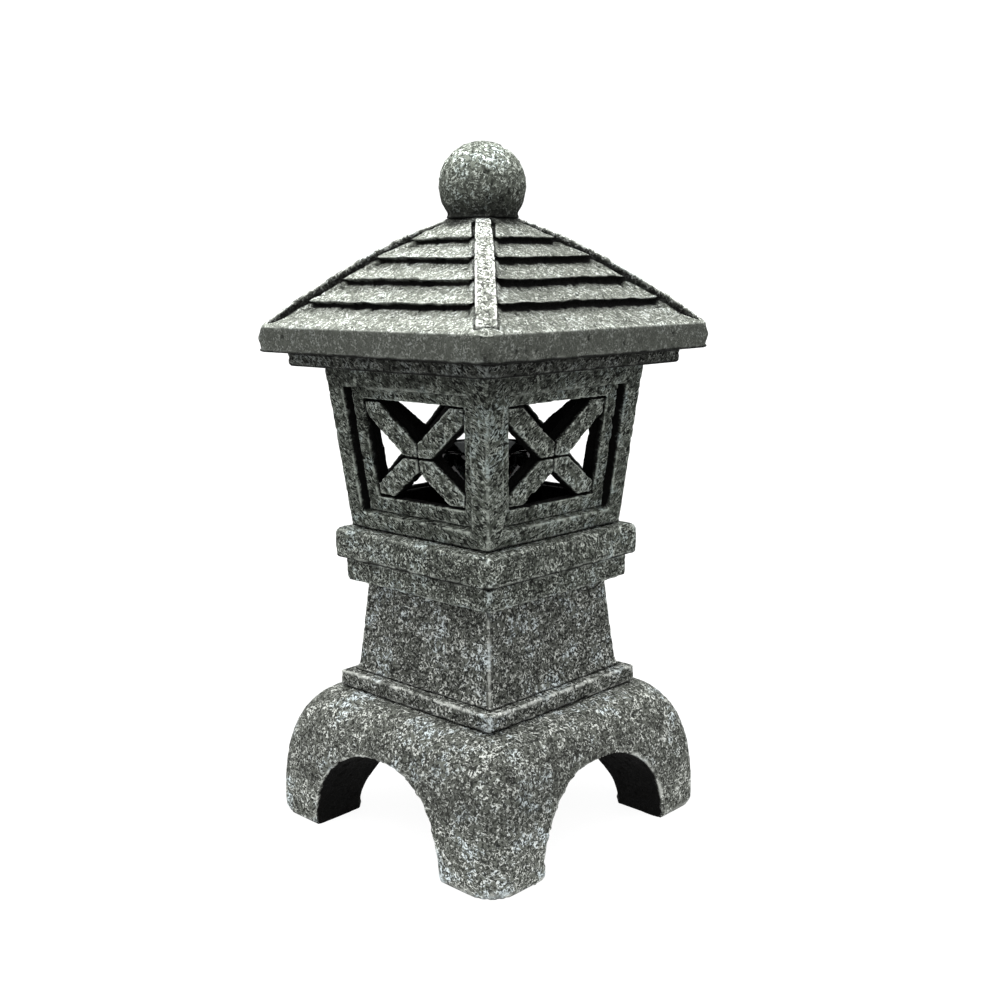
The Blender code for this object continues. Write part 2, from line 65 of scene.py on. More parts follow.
def lattice_value(cells, seed):
    """One repeatable random number from 0 to 1 for each row of whole numbers."""
    x, y, z = ((cells[:, k] & 0xffffffff).astype(np.uint32) for k in range(3))
    mixed = x * np.uint32(73856093) ^ y * np.uint32(19349663) ^ z * np.uint32(83492791)
    mixed ^= np.uint32(seed * 2654435761 % 2 ** 32)
    mixed = (mixed ^ (mixed >> np.uint32(13))) * np.uint32(1274126177)
    mixed ^= mixed >> np.uint32(16)
    return mixed / 4294967295.0


def noise(points, size, seed):
    """Smooth noise from -1 to 1 whose lumps are about size across."""
    scaled = points / size
    cells = np.floor(scaled).astype(np.int64)
    share = scaled - cells
    share = share ** 3 * (share * (share * 6 - 15) + 10)
    total = np.zeros(len(points))
    for corner in np.ndindex(2, 2, 2):
        weight = np.ones(len(points))
        for axis in range(3):
            weight = weight * (share[:, axis] if corner[axis] else 1 - share[:, axis])
        total += weight * lattice_value(cells + np.array(corner), seed)
    return total * 2 - 1


def rough(points, size, octaves, seed):
    """Noise with finer, weaker noise on top, from about -1 to 1."""
    total = np.zeros(len(points))
    for octave in range(octaves):
        total += noise(points, size / 2 ** octave, seed + octave) * 0.6 ** octave
    return total


def ramp(values, low, high):
    """0 below low, 1 above high, and a smooth step between."""
    share = np.clip((values - low) / (high - low), 0, 1)
    return share * share * (3 - 2 * share)


# ---------------------------------------------------------------- meshes as arrays

def read_points(mesh):
    flat = np.empty(len(mesh.vertices) * 3, np.float32)
    mesh.vertices.foreach_get("co", flat)
    return flat.reshape(-1, 3).astype(float)


def write_points(mesh, points):
    mesh.vertices.foreach_set("co", points.astype(np.float32).ravel())
    mesh.update()


def read_normals(mesh):
    flat = np.empty(len(mesh.vertices) * 3, np.float32)
    mesh.vertex_normals.foreach_get("vector", flat)
    return flat.reshape(-1, 3).astype(float)


def read_edges(mesh):
    flat = np.empty(len(mesh.edges) * 2, np.int32)
    mesh.edges.foreach_get("vertices", flat)
    return flat.reshape(-1, 2)


def relax(points, edges, times, share=0.5):
    """Move every point towards the middle of its neighbours, a number of times."""
    ends = np.concatenate((edges[:, 0], edges[:, 1]))
    others = np.concatenate((edges[:, 1], edges[:, 0]))
    count = np.maximum(np.bincount(ends, minlength=len(points)), 1)
    for _ in range(times):
        middle = np.stack([np.bincount(ends, weights=points[others, axis], minlength=len(points))
                           for axis in range(3)], axis=1) / count[:, None]
        points = points + (middle - points) * share
    return points


def paint(mesh, name, values):
    """Keep one number for each vertex, for the material to read."""
    layer = mesh.attributes.get(name) or mesh.attributes.new(name, "FLOAT", "POINT")
    layer.data.foreach_set("value", values.astype(np.float32))


def evaluated_copy(mesh, name, kind, **settings):
    """The mesh that one modifier makes of this mesh."""
    carrier = bpy.data.objects.new(name, mesh)
    bpy.context.scene.collection.objects.link(carrier)
    modifier = carrier.modifiers.new(kind, kind)
    for key, value in settings.items():
        setattr(modifier, key, value)
    graph = bpy.context.evaluated_depsgraph_get()
    result = bpy.data.meshes.new_from_object(carrier.evaluated_get(graph))
    result.name = name
    bpy.data.objects.remove(carrier)
    bpy.data.meshes.remove(mesh)
    return result


def remeshed(node, voxel):
    """An even, closed mesh of the same shape as a CAD node."""
    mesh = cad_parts[node].data.copy()
    shape = bmesh.new()
    shape.from_mesh(mesh)
    bmesh.ops.remove_doubles(shape, verts=shape.verts, dist=0.000001)
    shape.to_mesh(mesh)
    shape.free()
    return evaluated_copy(mesh, node + "_stone", "REMESH", mode="VOXEL", voxel_size=voxel)


# ---------------------------------------------------------------- weathering

def dent(points, centre, radius, depth):
    """How far a rounded chip at centre moves each point."""
    away = np.linalg.norm(points - np.array(centre), axis=1) / radius
    return depth * np.clip(1 - away ** 2, 0, 1) ** 1.5


def joints(points, seams, seed):
    """How much painted shade the joints at some heights put on each point, and how freely it wears
    near them.
    """
    wander = 0.35 * MM * rough(points, 5 * MM, 3, seed)
    joint_shade = np.zeros(len(points))
    loose = np.ones(len(points))
    reach = np.abs(points[:, :2]).max(axis=1)
    for height in seams:
        away = np.abs(points[:, 2] - height)
        inset = reach[away < MM].max() - reach
        outer = 0.35 + 0.6 * ramp(inset + wander, 5 * MM, 2.5 * MM)
        joint_shade = np.maximum(joint_shade, outer * ramp(away + wander, 1.2 * MM, 0.45 * MM))
        loose *= 0.2 + 0.8 * ramp(away, 0.3 * MM, 1.5 * MM)
    return joint_shade, loose


def weather(node, body, material, voxel, triangles, wear=1, ragged=4, swell=0.25, grain=0.18,
            chips=0.35, dents=(), warp=None, darken=None, lighten=None, seams=(), seed=1,
            flat_foot=False):
    """Replace a CAD node with a worn, rough and chipped stone of the same shape.

    voxel and triangles set the fineness. wear and ragged are how many times the edges are
    relaxed everywhere and in patches; swell, grain and chips are depths in millimetres. warp
    bends the shape first, darken gives how black painted shade makes each point, lighten how much
    paler than the painted top light of its slope it makes it, and seams are the heights where the
    stone meets another one, whose joints get painted shade. A flat_foot keeps the underside on the
    ground.
    """
    voxel *= COARSE
    mesh = remeshed(node, voxel)
    points, edges = read_points(mesh), read_edges(mesh)
    # painted shade: how black each point is painted where shade falls
    shade_and_char = darken(points) if darken else np.zeros(len(points))
    if warp is not None:
        points = warp(points)
    points = relax(points, edges, wear)
    patches = ramp(rough(points, 9 * MM, 2, seed + 11), 0.0, 0.7)[:, None]
    points = points + (relax(points, edges, ragged) - points) * patches
    write_points(mesh, points)
    normals = read_normals(mesh)
    # painted top light and bleaching: faces that look up are painted paler
    sun = ramp(relax(normals, edges, 4)[:, 2], 0.15, 0.75)
    paint(mesh, "sun", sun + lighten(points) if lighten else sun)
    # painted shade in the joints where this stone meets another
    joint_shade, loose = joints(points, seams, seed + 13)
    shade_and_char = np.maximum(shade_and_char, joint_shade)

    # edges stand out from the relaxed shape by this many voxels
    corner = ((points - relax(points, edges, 10)) * normals).sum(axis=1) / voxel
    broken = ramp(rough(points, 2.5 * MM, 2, seed + 15), -0.45, 0.5)
    paint(mesh, "wear", ramp(corner, 0.12, 0.30) * broken)

    depth = swell * MM * (0.5 + 0.5 * noise(points, 15 * MM, seed))
    depth += grain * MM * (0.5 + 0.5 * rough(points, 2.1 * MM, 2, seed + 3))
    depth += 2.2 * grain * MM * ramp(noise(points, 2.6 * MM, seed + 5), 0.45, 0.8)
    chipped = ramp(corner, 0.06, 0.40) * ramp(rough(points, 3.2 * MM, 3, seed + 7), 0.05, 0.6)
    depth += chips * MM * chipped
    for centre, radius, deep in dents:
        crumbled = 1 + 0.5 * noise(points, 1.6 * MM, seed + 9)
        depth += dent(points, centre, radius, deep) * crumbled
    depth *= loose
    if flat_foot:
        depth *= ramp(points[:, 2], 0.3 * MM, 1.5 * MM)
    points = points - normals * depth[:, None]
    if flat_foot:
        points[:, 2] = np.where(points[:, 2] < 0.6 * MM, 0.0, points[:, 2])
    write_points(mesh, points)

    normals = read_normals(mesh)
    # darker in hollows: how far each point sinks below its relaxed neighbours
    hollow = ((relax(points, edges, 12) - points) * normals).sum(axis=1) / voxel
    paint(mesh, "hollow_dark", ramp(hollow, 0.09, 0.50))
    # painted shade, for the material to blacken
    paint(mesh, "shade_and_char", shade_and_char)

    share = triangles / COARSE ** 2 / (2 * len(mesh.polygons))
    if share < 1:
        mesh = evaluated_copy(mesh, node + "_stone", "DECIMATE", ratio=share)
    mesh.materials.clear()
    mesh.materials.append(material)
    mesh.shade_smooth()
    stone = bpy.data.objects.new(node + "_stone", mesh)
    bpy.context.scene.collection.objects.link(stone)
    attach(stone, body)
    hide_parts(node)
    return stone


def square_depth(points, half, corner):
    """Distance in from a square tube with rounded corners whose half width may change with height."""
    inner = (half - corner)[:, None]
    over = np.abs(points[:, :2]) - inner
    outside = np.linalg.norm(np.maximum(over, 0), axis=1)
    inside = np.minimum(over.max(axis=1), 0)
    return corner - outside - inside


# ---------------------------------------------------------------- materials

class Graph:
    """A small helper that builds a material's nodes."""

    def __init__(self, name):
        self.material = bpy.data.materials.new(name)
        self.material.use_nodes = True
        self.tree = self.material.node_tree
        self.shader = self.tree.nodes["Principled BSDF"]

    def put(self, target, value):
        """Link a socket to an input, or set the input to a value."""
        if isinstance(value, bpy.types.NodeSocket):
            self.tree.links.new(value, target)
        elif isinstance(value, tuple) and len(value) == 3 and target.type == "RGBA":
            target.default_value = (*value, 1.0)
        else:
            target.default_value = value

    def node(self, kind, inputs=None, **settings):
        made = self.tree.nodes.new(kind)
        for key, value in settings.items():
            setattr(made, key, value)
        for key, value in (inputs or {}).items():
            self.put(made.inputs[key], value)
        return made

    def set(self, **values):
        for key, value in values.items():
            self.put(self.shader.inputs[key.replace("_", " ")], value)

    def place(self):
        return self.node("ShaderNodeTexCoord").outputs["Object"]

    def painted(self, name):
        return self.node("ShaderNodeAttribute", attribute_name=name).outputs["Fac"]

    def math(self, operation, a, b=0.0, clamp=False):
        made = self.node("ShaderNodeMath", {0: a, 1: b}, operation=operation, use_clamp=clamp)
        return made.outputs[0]

    def step(self, value, low, high, start=0.0, end=1.0):
        """A smooth step from start to end as value goes from low to high."""
        made = self.node("ShaderNodeMapRange", {"Value": value, "From Min": low, "From Max": high,
                                                "To Min": start, "To Max": end},
                         interpolation_type="SMOOTHSTEP")
        return made.outputs["Result"]

    def blend(self, factor, a, b):
        made = self.node("ShaderNodeMix", data_type="RGBA")
        self.put(made.inputs["Factor"], factor)
        self.put(made.inputs[6], a)
        self.put(made.inputs[7], b)
        return made.outputs[2]

    def noise(self, vector, size, detail=2.0, roughness=0.5, distortion=0.0):
        made = self.node("ShaderNodeTexNoise", {"Vector": vector, "Scale": 1 / size,
                                                "Detail": detail, "Roughness": roughness,
                                                "Distortion": distortion})
        return made.outputs["Fac"]

    def stretched(self, vector, x_axis, y_axis, z_axis):
        """Coordinates along three directions, each scaled by its own length."""
        parts = [self.node("ShaderNodeVectorMath", {0: vector, 1: axis},
                           operation="DOT_PRODUCT").outputs["Value"]
                 for axis in (x_axis, y_axis, z_axis)]
        return self.node("ShaderNodeCombineXYZ", dict(enumerate(parts))).outputs["Vector"]

    def mixed(self, one, other, share):
        """Two noises about 0.5 mixed, and as lively as either."""
        lively = 1 / math.hypot(1 - share, share)
        made = self.math("ADD", self.math("MULTIPLY", one, (1 - share) * lively),
                         self.math("MULTIPLY", other, share * lively))
        return self.math("ADD", made, 0.5 - 0.5 * lively)

    def bump(self, height, distance, strength=1.0):
        made = self.node("ShaderNodeBump", {"Height": height, "Distance": distance,
                                            "Strength": strength})
        return made.outputs["Normal"]


def stone_material(name, tone, toplight_gain=1.5, worn=0.5, tool_marks=0.0, tint=0.5, shift=0.0,
                   fine=1.0, calm=0.0, mossy=0.0):
    """Cast stone: an olive ground, black pits, thin pale worms of rubbed grain, lime patches.

    tone is how light the ground is, and toplight_gain how many times lighter painted top light and
    bleaching make the faces that look up. worn is how much of the stone the pale worms cover,
    tool_marks mixes in slanting strokes, tint is how strong the bluish lime patches are, fine scales
    the grain, and calm evens out the colour, more so on the faces that don't look up. mossy turns the
    whole a little green.
    """
    red, green, blue = tone * (1 - mossy), tone * (1 + mossy), tone * (1 - mossy)
    ground = (0.98 * red, 1.04 * green, 0.91 * blue)
    dark = tuple(0.10 * c for c in ground)
    pale = (6.3 * red, 6.5 * green, 6.1 * blue)
    limed = (6.0 * red, 6.7 * green, 6.9 * blue)
    g = Graph(name)
    here = g.node("ShaderNodeVectorMath", {0: g.place(), 1: (shift, shift * 0.7, -shift * 0.4)},
                  operation="ADD").outputs["Vector"]
    turned = g.stretched(here, (0, 1, 0), (0, 0, 1), (1, 0, 0))
    patches = g.noise(here, 24 * MM, 3.0, 0.55)
    blotches = g.noise(here, 8 * MM, 3.0, 0.6)
    broken = g.noise(turned, 2.3 * fine * MM, 1.0, 0.5)
    bent = g.noise(here, 1.5 * fine * MM, 1.0, 0.5, 0.4)
    hollows = g.noise(turned, 1.15 * fine * MM, 1.0, 0.5)
    dust = g.noise(here, 0.5 * fine * MM, 1.0, 0.5)
    if tool_marks > 0:
        strokes_at = g.stretched(here, (0.9, -0.9, 1.3), (0.22, -0.22, -0.3), (0.5, 0.5, 0.0))
        strokes = g.noise(strokes_at, 1.2 * MM, 1.0, 0.5, 0.3)
        bent = g.mixed(bent, strokes, tool_marks)
        hollows = g.mixed(hollows, strokes, 0.8 * tool_marks)

    # how strongly this place is rubbed: in patches, in smaller blotches and on edges
    rubbed = g.math("ADD", g.math("MULTIPLY", g.step(patches, 0.40, 0.62), 0.45),
                    g.math("MULTIPLY", g.step(blotches, 0.42, 0.62), 0.75))
    rubbed = g.math("ADD", rubbed, g.math("MULTIPLY", g.painted("wear"), 0.6))

    # the ground, with dust on it
    mottled = g.math("ADD", g.math("MULTIPLY", dust, 1.4), 0.05)
    mottled = g.math("ADD", mottled, g.math("MULTIPLY", rubbed, 0.5))
    colour = g.node("ShaderNodeVectorMath", {0: ground, "Scale": mottled},
                    operation="SCALE").outputs["Vector"]

    # thin pale worms where a fine noise crosses its middle, wider where the stone is rubbed
    away = g.math("ABSOLUTE", g.math("SUBTRACT", bent, 0.5))
    width = g.math("ADD", g.math("MULTIPLY", rubbed, 0.06 * worn), 0.038)
    worm = g.step(g.math("DIVIDE", away, width), 0.4, 1.3, 1.0, 0.0)
    worm = g.math("MULTIPLY", worm, g.step(broken, 0.36, 0.52))
    worm = g.math("MULTIPLY", worm, g.step(rubbed, -0.95, 0.80), clamp=True)
    limy = g.math("MULTIPLY", g.step(patches, 0.44, 0.56), g.step(blotches, 0.46, 0.58))
    lime = g.blend(g.math("MULTIPLY", limy, tint), pale, limed)
    colour = g.blend(worm, colour, lime)

    # pits eaten through both, and edges rubbed pale
    pit = g.step(hollows, 0.50, 0.585)
    colour = g.blend(g.math("MULTIPLY", pit, 0.9), colour, dark)
    colour = g.blend(g.math("MULTIPLY", g.painted("wear"), 0.62), colour, lime)
    if calm > 0:
        even = g.step(g.painted("sun"), 0.0, 0.8, calm, 0.6 * calm)
        colour = g.blend(even, colour, tuple(1.35 * c for c in ground))

    # lighter on faces that look up, as painted top light and bleaching; darker in hollows, and black
    # under painted shade
    toplit = g.math("ADD", g.math("MULTIPLY", g.painted("sun"), toplight_gain - 1), 1.0)
    colour = g.node("ShaderNodeVectorMath", {0: colour, "Scale": toplit},
                    operation="SCALE").outputs["Vector"]
    # darker in hollows
    colour = g.blend(g.math("MULTIPLY", g.painted("hollow_dark"), 0.8), colour, dark)
    # black where painted shade is painted
    colour = g.blend(g.painted("shade_and_char"), colour, SHADE_BLACK)

    height = g.math("ADD", g.math("MULTIPLY", worm, 0.35), g.math("MULTIPLY", dust, 0.4))
    height = g.math("SUBTRACT", height, g.math("MULTIPLY", pit, 0.7))
    g.set(Base_Color=colour, Normal=g.bump(height, 0.5 * MM, 0.8),
          Roughness=g.step(worm, 0.0, 1.0, 0.97, 0.8))
    g.shader.inputs["Specular IOR Level"].default_value = 0.07
    return g.material


def glass_material():
    g = Graph("smoked_glass")
    here = g.place()
    smears = g.noise(here, 5 * MM, 3.0, 0.6)
    waves = g.noise(here, 9 * MM, 1.0, 0.4)
    g.set(Base_Color=(0.028, 0.03, 0.03), Roughness=g.step(smears, 0.5, 0.8, 0.015, 0.12),
          Normal=g.bump(waves, 0.15 * MM, 0.4))
    g.shader.inputs["Transmission Weight"].default_value = 1.0
    g.shader.inputs["IOR"].default_value = 1.47
    return g.material


def aluminium_material():
    g = Graph("tealight_aluminium")
    here = g.place()
    brushed = g.noise(g.stretched(here, (0.2, 0.2, 0.0), (0.2, -0.2, 0.0), (0.0, 0.0, 1.0)),
                      0.35 * MM, 2.0, 0.6)
    dull = g.noise(here, 4 * MM, 3.0, 0.6)
    g.set(Base_Color=g.blend(g.step(dull, 0.4, 0.7), (0.80, 0.80, 0.82), (0.60, 0.60, 0.62)),
          Roughness=g.step(dull, 0.3, 0.7, 0.22, 0.42),
          Normal=g.bump(brushed, 0.05 * MM, 0.5))
    g.shader.inputs["Metallic"].default_value = 1.0
    return g.material


def wax_material():
    g = Graph("candle_wax")
    here = g.place()
    cloud = g.noise(here, 3.5 * MM, 3.0, 0.6)
    g.set(Base_Color=g.blend(g.step(cloud, 0.35, 0.65), (0.86, 0.84, 0.77), (0.93, 0.92, 0.88)),
          Roughness=g.step(cloud, 0.3, 0.7, 0.38, 0.55),
          Normal=g.bump(g.noise(here, 1.6 * MM, 2.0, 0.5), 0.12 * MM, 0.5))
    g.shader.inputs["Subsurface Weight"].default_value = 0.3
    g.shader.inputs["Subsurface Scale"].default_value = 0.003
    return g.material


def wick_material():
    g = Graph("cotton_wick")
    here = g.place()
    threads = g.noise(g.stretched(here, (1.0, 0.3, 0.6), (-0.3, 1.0, 0.6), (0.0, 0.0, 0.5)),
                      0.25 * MM, 2.0, 0.5)
    charred = g.painted("shade_and_char")
    cotton = g.blend(threads, (0.55, 0.50, 0.40), (0.82, 0.78, 0.68))
    g.set(Base_Color=g.blend(charred, cotton, (0.015, 0.013, 0.012)),
          Normal=g.bump(threads, 0.2 * MM, 0.8))
    g.shader.inputs["Roughness"].default_value = 0.95
    return g.material


def floor_material():
    g = Graph("studio_floor")
    g.set(Base_Color=(0.10, 0.10, 0.10), Emission_Color=(1.0, 1.0, 1.0))
    g.shader.inputs["Emission Strength"].default_value = 0.93
    g.shader.inputs["Roughness"].default_value = 0.9
    return g.material


# ---------------------------------------------------------------- stones


def build_base(material):
    low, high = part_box("base")

    def tunnels(points):
        """Painted shade: the arches' inner faces and the underside are painted black."""
        height = points[:, 2]
        levels = np.arange(0, high.z + MM, MM)
        reach = np.array([np.abs(points[np.abs(height - z) < MM, :2]).max() for z in levels])
        half = np.interp(height, levels, reach)
        inside = square_depth(points, half, 13 * MM) + 0.5 * MM * rough(points, 6 * MM, 2, 15)
        return ramp(inside, 0.5 * MM, 1.6 * MM) * ramp(height, high.z - 6 * MM, high.z - 9 * MM)

    def lit_feet_pale_shoulders(points):
        """Painted light makes the feet paler, and the shoulders away from the front corner are paler
        too.
        """
        forward = (points[:, 0] - points[:, 1]) / 2
        shoulders = 0.65 * ramp(forward, 46 * MM, 14 * MM)
        feet = 1.3 * ramp(points[:, 2], 34 * MM, 14 * MM)
        return np.maximum(shoulders, feet)

    weather("base", "stand", material, 0.8 * MM, 120000, wear=3, ragged=6, swell=0.5, grain=0.2,
            chips=0.15, lighten=lit_feet_pale_shoulders, darken=tunnels, seed=1, flat_foot=True,
            dents=[((-37 * MM, -66 * MM, 6 * MM), 3.2 * MM, 1.6 * MM)])


def build_plinth(material):
    weather("plinth", "stand", material, 0.55 * MM, 28000, wear=0, ragged=3, grain=0.14,
            chips=0.3, seams=(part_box("plinth")[0].z,), seed=21)


def build_post(material):
    joint_heights = (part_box("plinth")[1].z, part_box("lower_platform")[0].z)
    weather("post", "stand", material, 0.55 * MM, 46000, wear=1, ragged=3, swell=0.3, grain=0.15,
            chips=0.15, seams=joint_heights, seed=41)


def build_platforms(material):
    joint_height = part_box("lower_platform")[1].z
    slab_low, slab_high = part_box("upper_platform")
    chip = (slab_high.x - 2 * MM, slab_low.y + 2 * MM, slab_low.z)
    weather("lower_platform", "stand", material, 0.55 * MM, 32000, wear=2, ragged=6,
            swell=0.3, grain=0.17, chips=0.5, seams=(joint_height,), seed=61)
    weather("upper_platform", "fire_box", material, 0.55 * MM, 44000, wear=3, ragged=8,
            swell=0.3, grain=0.18, chips=0.5, seams=(slab_low.z,), seed=81,
            dents=[(chip, 5 * MM, 1.6 * MM)])


def wall_depth(points):
    """How far each point lies behind the sloping outside of the light box."""
    foot_half, top_half, top_height = 39.8 * MM, 46.6 * MM, 189.9 * MM
    foot_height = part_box("light_box")[0].z
    flare = (top_half - foot_half) / (top_height - foot_height)
    half = foot_half + flare * (points[:, 2] - foot_height)
    return square_depth(points, half, 1.0 * MM)


def build_light_box(material):
    def inside(points):
        """Painted shade: black on the recesses' walls and in the room, but not on the windows'
        ledges, and darker towards the eaves.
        """
        depth = wall_depth(points)
        ledge = ramp(depth, 7.6 * MM, 7.2 * MM) * ramp(points[:, 2], 131.6 * MM, 131.1 * MM)
        eave_shade = 0.35 * ramp(points[:, 2], 174 * MM, 189 * MM)
        return np.maximum(eave_shade, ramp(depth, 0.45 * MM, 1.3 * MM) * (1 - 0.9 * ledge))

    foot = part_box("light_box")[0].z
    weather("light_box", "fire_box", material, 0.55 * MM, 100000, ragged=3, swell=0.22,
            grain=0.16, chips=0.2, darken=inside, seams=(foot,), seed=101)


def build_windows(frame_material, bar_material):
    def behind_frame(points):
        """Painted shade: black behind the frames' front faces."""
        return ramp(wall_depth(points), 4.45 * MM, 5.3 * MM)

    def behind_bar(points):
        """Painted shade: black behind the bars' front faces, which lie deeper."""
        return ramp(wall_depth(points), 5.1 * MM, 6.0 * MM)

    for number, wall in enumerate(WALLS):
        weather(f"window_frame_{wall}", "fire_box", frame_material, 0.42 * MM, 10000, ragged=3,
                swell=0.2, grain=0.16, chips=0.3, darken=behind_frame, seed=201 + 20 * number)
        for place, corner in enumerate(CORNERS):
            weather(f"lattice_bar_{wall}_{corner}", "fire_box", bar_material, 0.38 * MM, 3600,
                    ragged=3, grain=0.2, chips=0.4, darken=behind_bar,
                    seed=301 + 20 * number + 4 * place)


def build_cornice(material):
    low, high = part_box("cornice")

    def bedded(points):
        """Close the mortar joint under the roof."""
        moved = points.copy()
        moved[:, 2] += 0.28 * MM * ramp(points[:, 2], high.z - 2 * MM, high.z - 0.5 * MM)
        return moved

    weather("cornice", "roof_stones", material, 0.55 * MM, 38000, ragged=4, swell=0.3,
            grain=0.2, chips=0.5, warp=bedded, seams=(low.z, high.z), seed=401)


def build_roof(material, rib_material):
    low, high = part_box("roof")
    eave_top = 207.2 * MM
    # half width and height of each course's lip, then how far out and how high the ribs' backs go
    lips = ((53.3 * MM, 216.6 * MM), (43.6 * MM, 225.2 * MM),
            (34.0 * MM, 233.2 * MM), (23.6 * MM, 240.3 * MM))
    rib_reach = [h * MM for h in (10.9, 23.0, 34.0, 44.4, 53.6, 61.2)]
    rib_height = [z * MM for z in (248.2, 241.4, 233.7, 224.9, 217.0, 209.3)]
    corners = [((x * high.x, y * high.y, z), 6 * MM, 2 * MM)
               for x in (-1, 1) for y in (-1, 1) for z in (low.z, eave_top)]

    def reach_and_hip(points):
        """How far out each point is on its slope, and how far from the nearest hip."""
        sideways = np.abs(points[:, :2])
        reach = sideways.max(axis=1)
        return reach, reach - sideways.min(axis=1)

    def on_courses(points):
        """1 above the eaves' outer faces, 0 on them."""
        return ramp(points[:, 2], eave_top - 0.3 * MM, eave_top + 0.7 * MM)

    def shaded_side(points):
        """1 on the two neighbouring slopes that get painted shade, 0 on the other two."""
        return ramp(points[:, 0] + points[:, 1], -4 * MM, 4 * MM)

    def lit_side(points):
        # painted light on the two slopes without painted shade
        return 0.15 * on_courses(points) * (1 - shaded_side(points))

    def roof_shade(points):
        """Painted shadow under each course's lip fading down the course below, and painted shade in
        the ribs' seats and round the ball's neck.
        """
        reach, from_hip = reach_and_hip(points)
        ragged_edge = 0.5 * MM * rough(points, 7 * MM, 3, 509)
        shaded = shaded_side(points)
        # painted shade on the two shaded slopes
        side_shade = 0.22 * shaded * on_courses(points)
        # painted shade in the ribs' seats along the hips
        black = 0.75 * ramp(from_hip, 6.9 * MM, 6.3 * MM)
        black *= ramp(points[:, 2], eave_top + 1 * MM, eave_top + 3 * MM)
        for half, z in lips:
            # painted shadow under the lip, and painted shade fading down the course below
            under = ramp(half - reach + ragged_edge + 1.1 * MM * shaded, 0.3 * MM, 1.5 * MM)
            fading = ramp(half - reach, -6 * MM, 0.0) * ramp(reach - half, 8 * MM, 5 * MM)
            fading *= 0.42 + 0.13 * shaded
            below = ramp(z - points[:, 2], 0.5 * MM, 0.75 * MM)
            near = ramp(z - points[:, 2], 5.5 * MM, 4.5 * MM)
            black = np.maximum(black, np.maximum(under * near, fading) * below)
        # painted shade round the ball's neck
        neck = np.linalg.norm(points - np.array((0, 0, high.z)), axis=1)
        return np.maximum(np.maximum(black, side_shade), 0.85 * ramp(neck, 20 * MM, 15 * MM))

    def wavy(points):
        """Sweep the courses up to the ribs, and let their lips wander a little."""
        above = ramp(points[:, 2], eave_top + 2 * MM, eave_top + 7 * MM)
        above *= ramp(points[:, 2], high.z, high.z - 6 * MM)
        moved = points.copy()
        reach, from_hip = reach_and_hip(points)
        line = np.interp(reach, rib_reach, rib_height) - 0.9 * MM
        sweep = 0.5 * ramp(from_hip, 8.5 * MM, 6.5 * MM)
        sweep *= ramp(points[:, 2], eave_top, eave_top + MM)
        moved[:, 2] += sweep * np.maximum(line - points[:, 2], 0)
        moved[:, 2] += above * MM * (0.65 * noise(points, 21 * MM, 503)
                                     + 0.22 * rough(points, 6 * MM, 2, 507))
        spread = above * MM * (0.5 * noise(points, 17 * MM, 505)
                               + 0.3 * rough(points, 5 * MM, 2, 511))
        from_axis = np.maximum(np.linalg.norm(points[:, :2], axis=1), MM)
        moved[:, :2] += points[:, :2] / from_axis[:, None] * spread[:, None]
        return moved

    def bedded(points):
        """Sink the ribs' undersides into the courses, and narrow the ribs towards the top."""
        along = np.abs(points[:, :2]).sum(axis=1) / 2
        across = (np.abs(points[:, 0]) - np.abs(points[:, 1])) / 2
        narrow = 1 - 0.22 * ramp(along, 40 * MM, 8 * MM)
        inward = 0.85 * MM * ramp(along, 14 * MM, 10 * MM)
        moved = points.copy()
        for axis, way in ((0, 1), (1, -1)):
            moved[:, axis] = np.sign(points[:, axis]) * (along - inward + way * across * narrow)
        back = np.interp(along, rib_reach, rib_height)
        sunk = ramp(back - points[:, 2], 1.5 * MM, 4.0 * MM) * ramp(along, 58 * MM, 54 * MM)
        moved[:, 2] -= 1.8 * MM * sunk
        return moved

    def rib_side_shade(points):
        """Painted shade: the ribs' sides darken away from their worn backs, and the ribs darken near
        the ball.
        """
        along = np.abs(points[:, :2]).sum(axis=1) / 2
        back = np.interp(along, rib_reach, rib_height)
        side = 0.95 * ramp(back - points[:, 2] + 0.25 * MM * rough(points, 5 * MM, 2, 513),
                           1.3 * MM, 1.9 * MM)
        return np.maximum(side, 0.8 * ramp(along, 12.5 * MM, 10.5 * MM))

    weather("roof", "roof_stones", material, 0.5 * MM, 140000, wear=1, ragged=2, swell=0.3,
            grain=0.17, chips=0.25, dents=corners, warp=wavy, darken=roof_shade,
            lighten=lit_side, seams=(low.z, high.z), seed=501)
    for number, hip in enumerate(HIPS):
        weather(f"hip_rib_{hip}", "roof_stones", rib_material, 0.42 * MM, 9000, wear=2,
                ragged=3, swell=0.2, grain=0.1, chips=0.12, warp=bedded, darken=rib_side_shade,
                seed=601 + 20 * number)


def build_finial(material):
    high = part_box("finial")[1]
    radius = high.x
    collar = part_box("roof")[1].z + 0.3 * MM

    def underside_shade(points):
        """Painted shade: the lower half of the ball darkens down to a black neck."""
        height = (points[:, 2] - (high.z - radius)) / radius
        return 0.9 * ramp(height, 0.3, -0.8) + 0.1 * ramp(height, -0.60, -0.72)

    def seated(points):
        """Let the collar down on the roof."""
        moved = points.copy()
        moved[:, 2] -= 0.4 * MM * ramp(points[:, 2], collar + 2.5 * MM, collar + 1.2 * MM)
        return moved

    weather("finial", "roof_stones", material, 0.45 * MM, 28000, wear=2, ragged=5, swell=0.3,
            grain=0.3, chips=0.2, darken=underside_shade, warp=seated, seams=(collar,), seed=701)


# ---------------------------------------------------------------- tea light

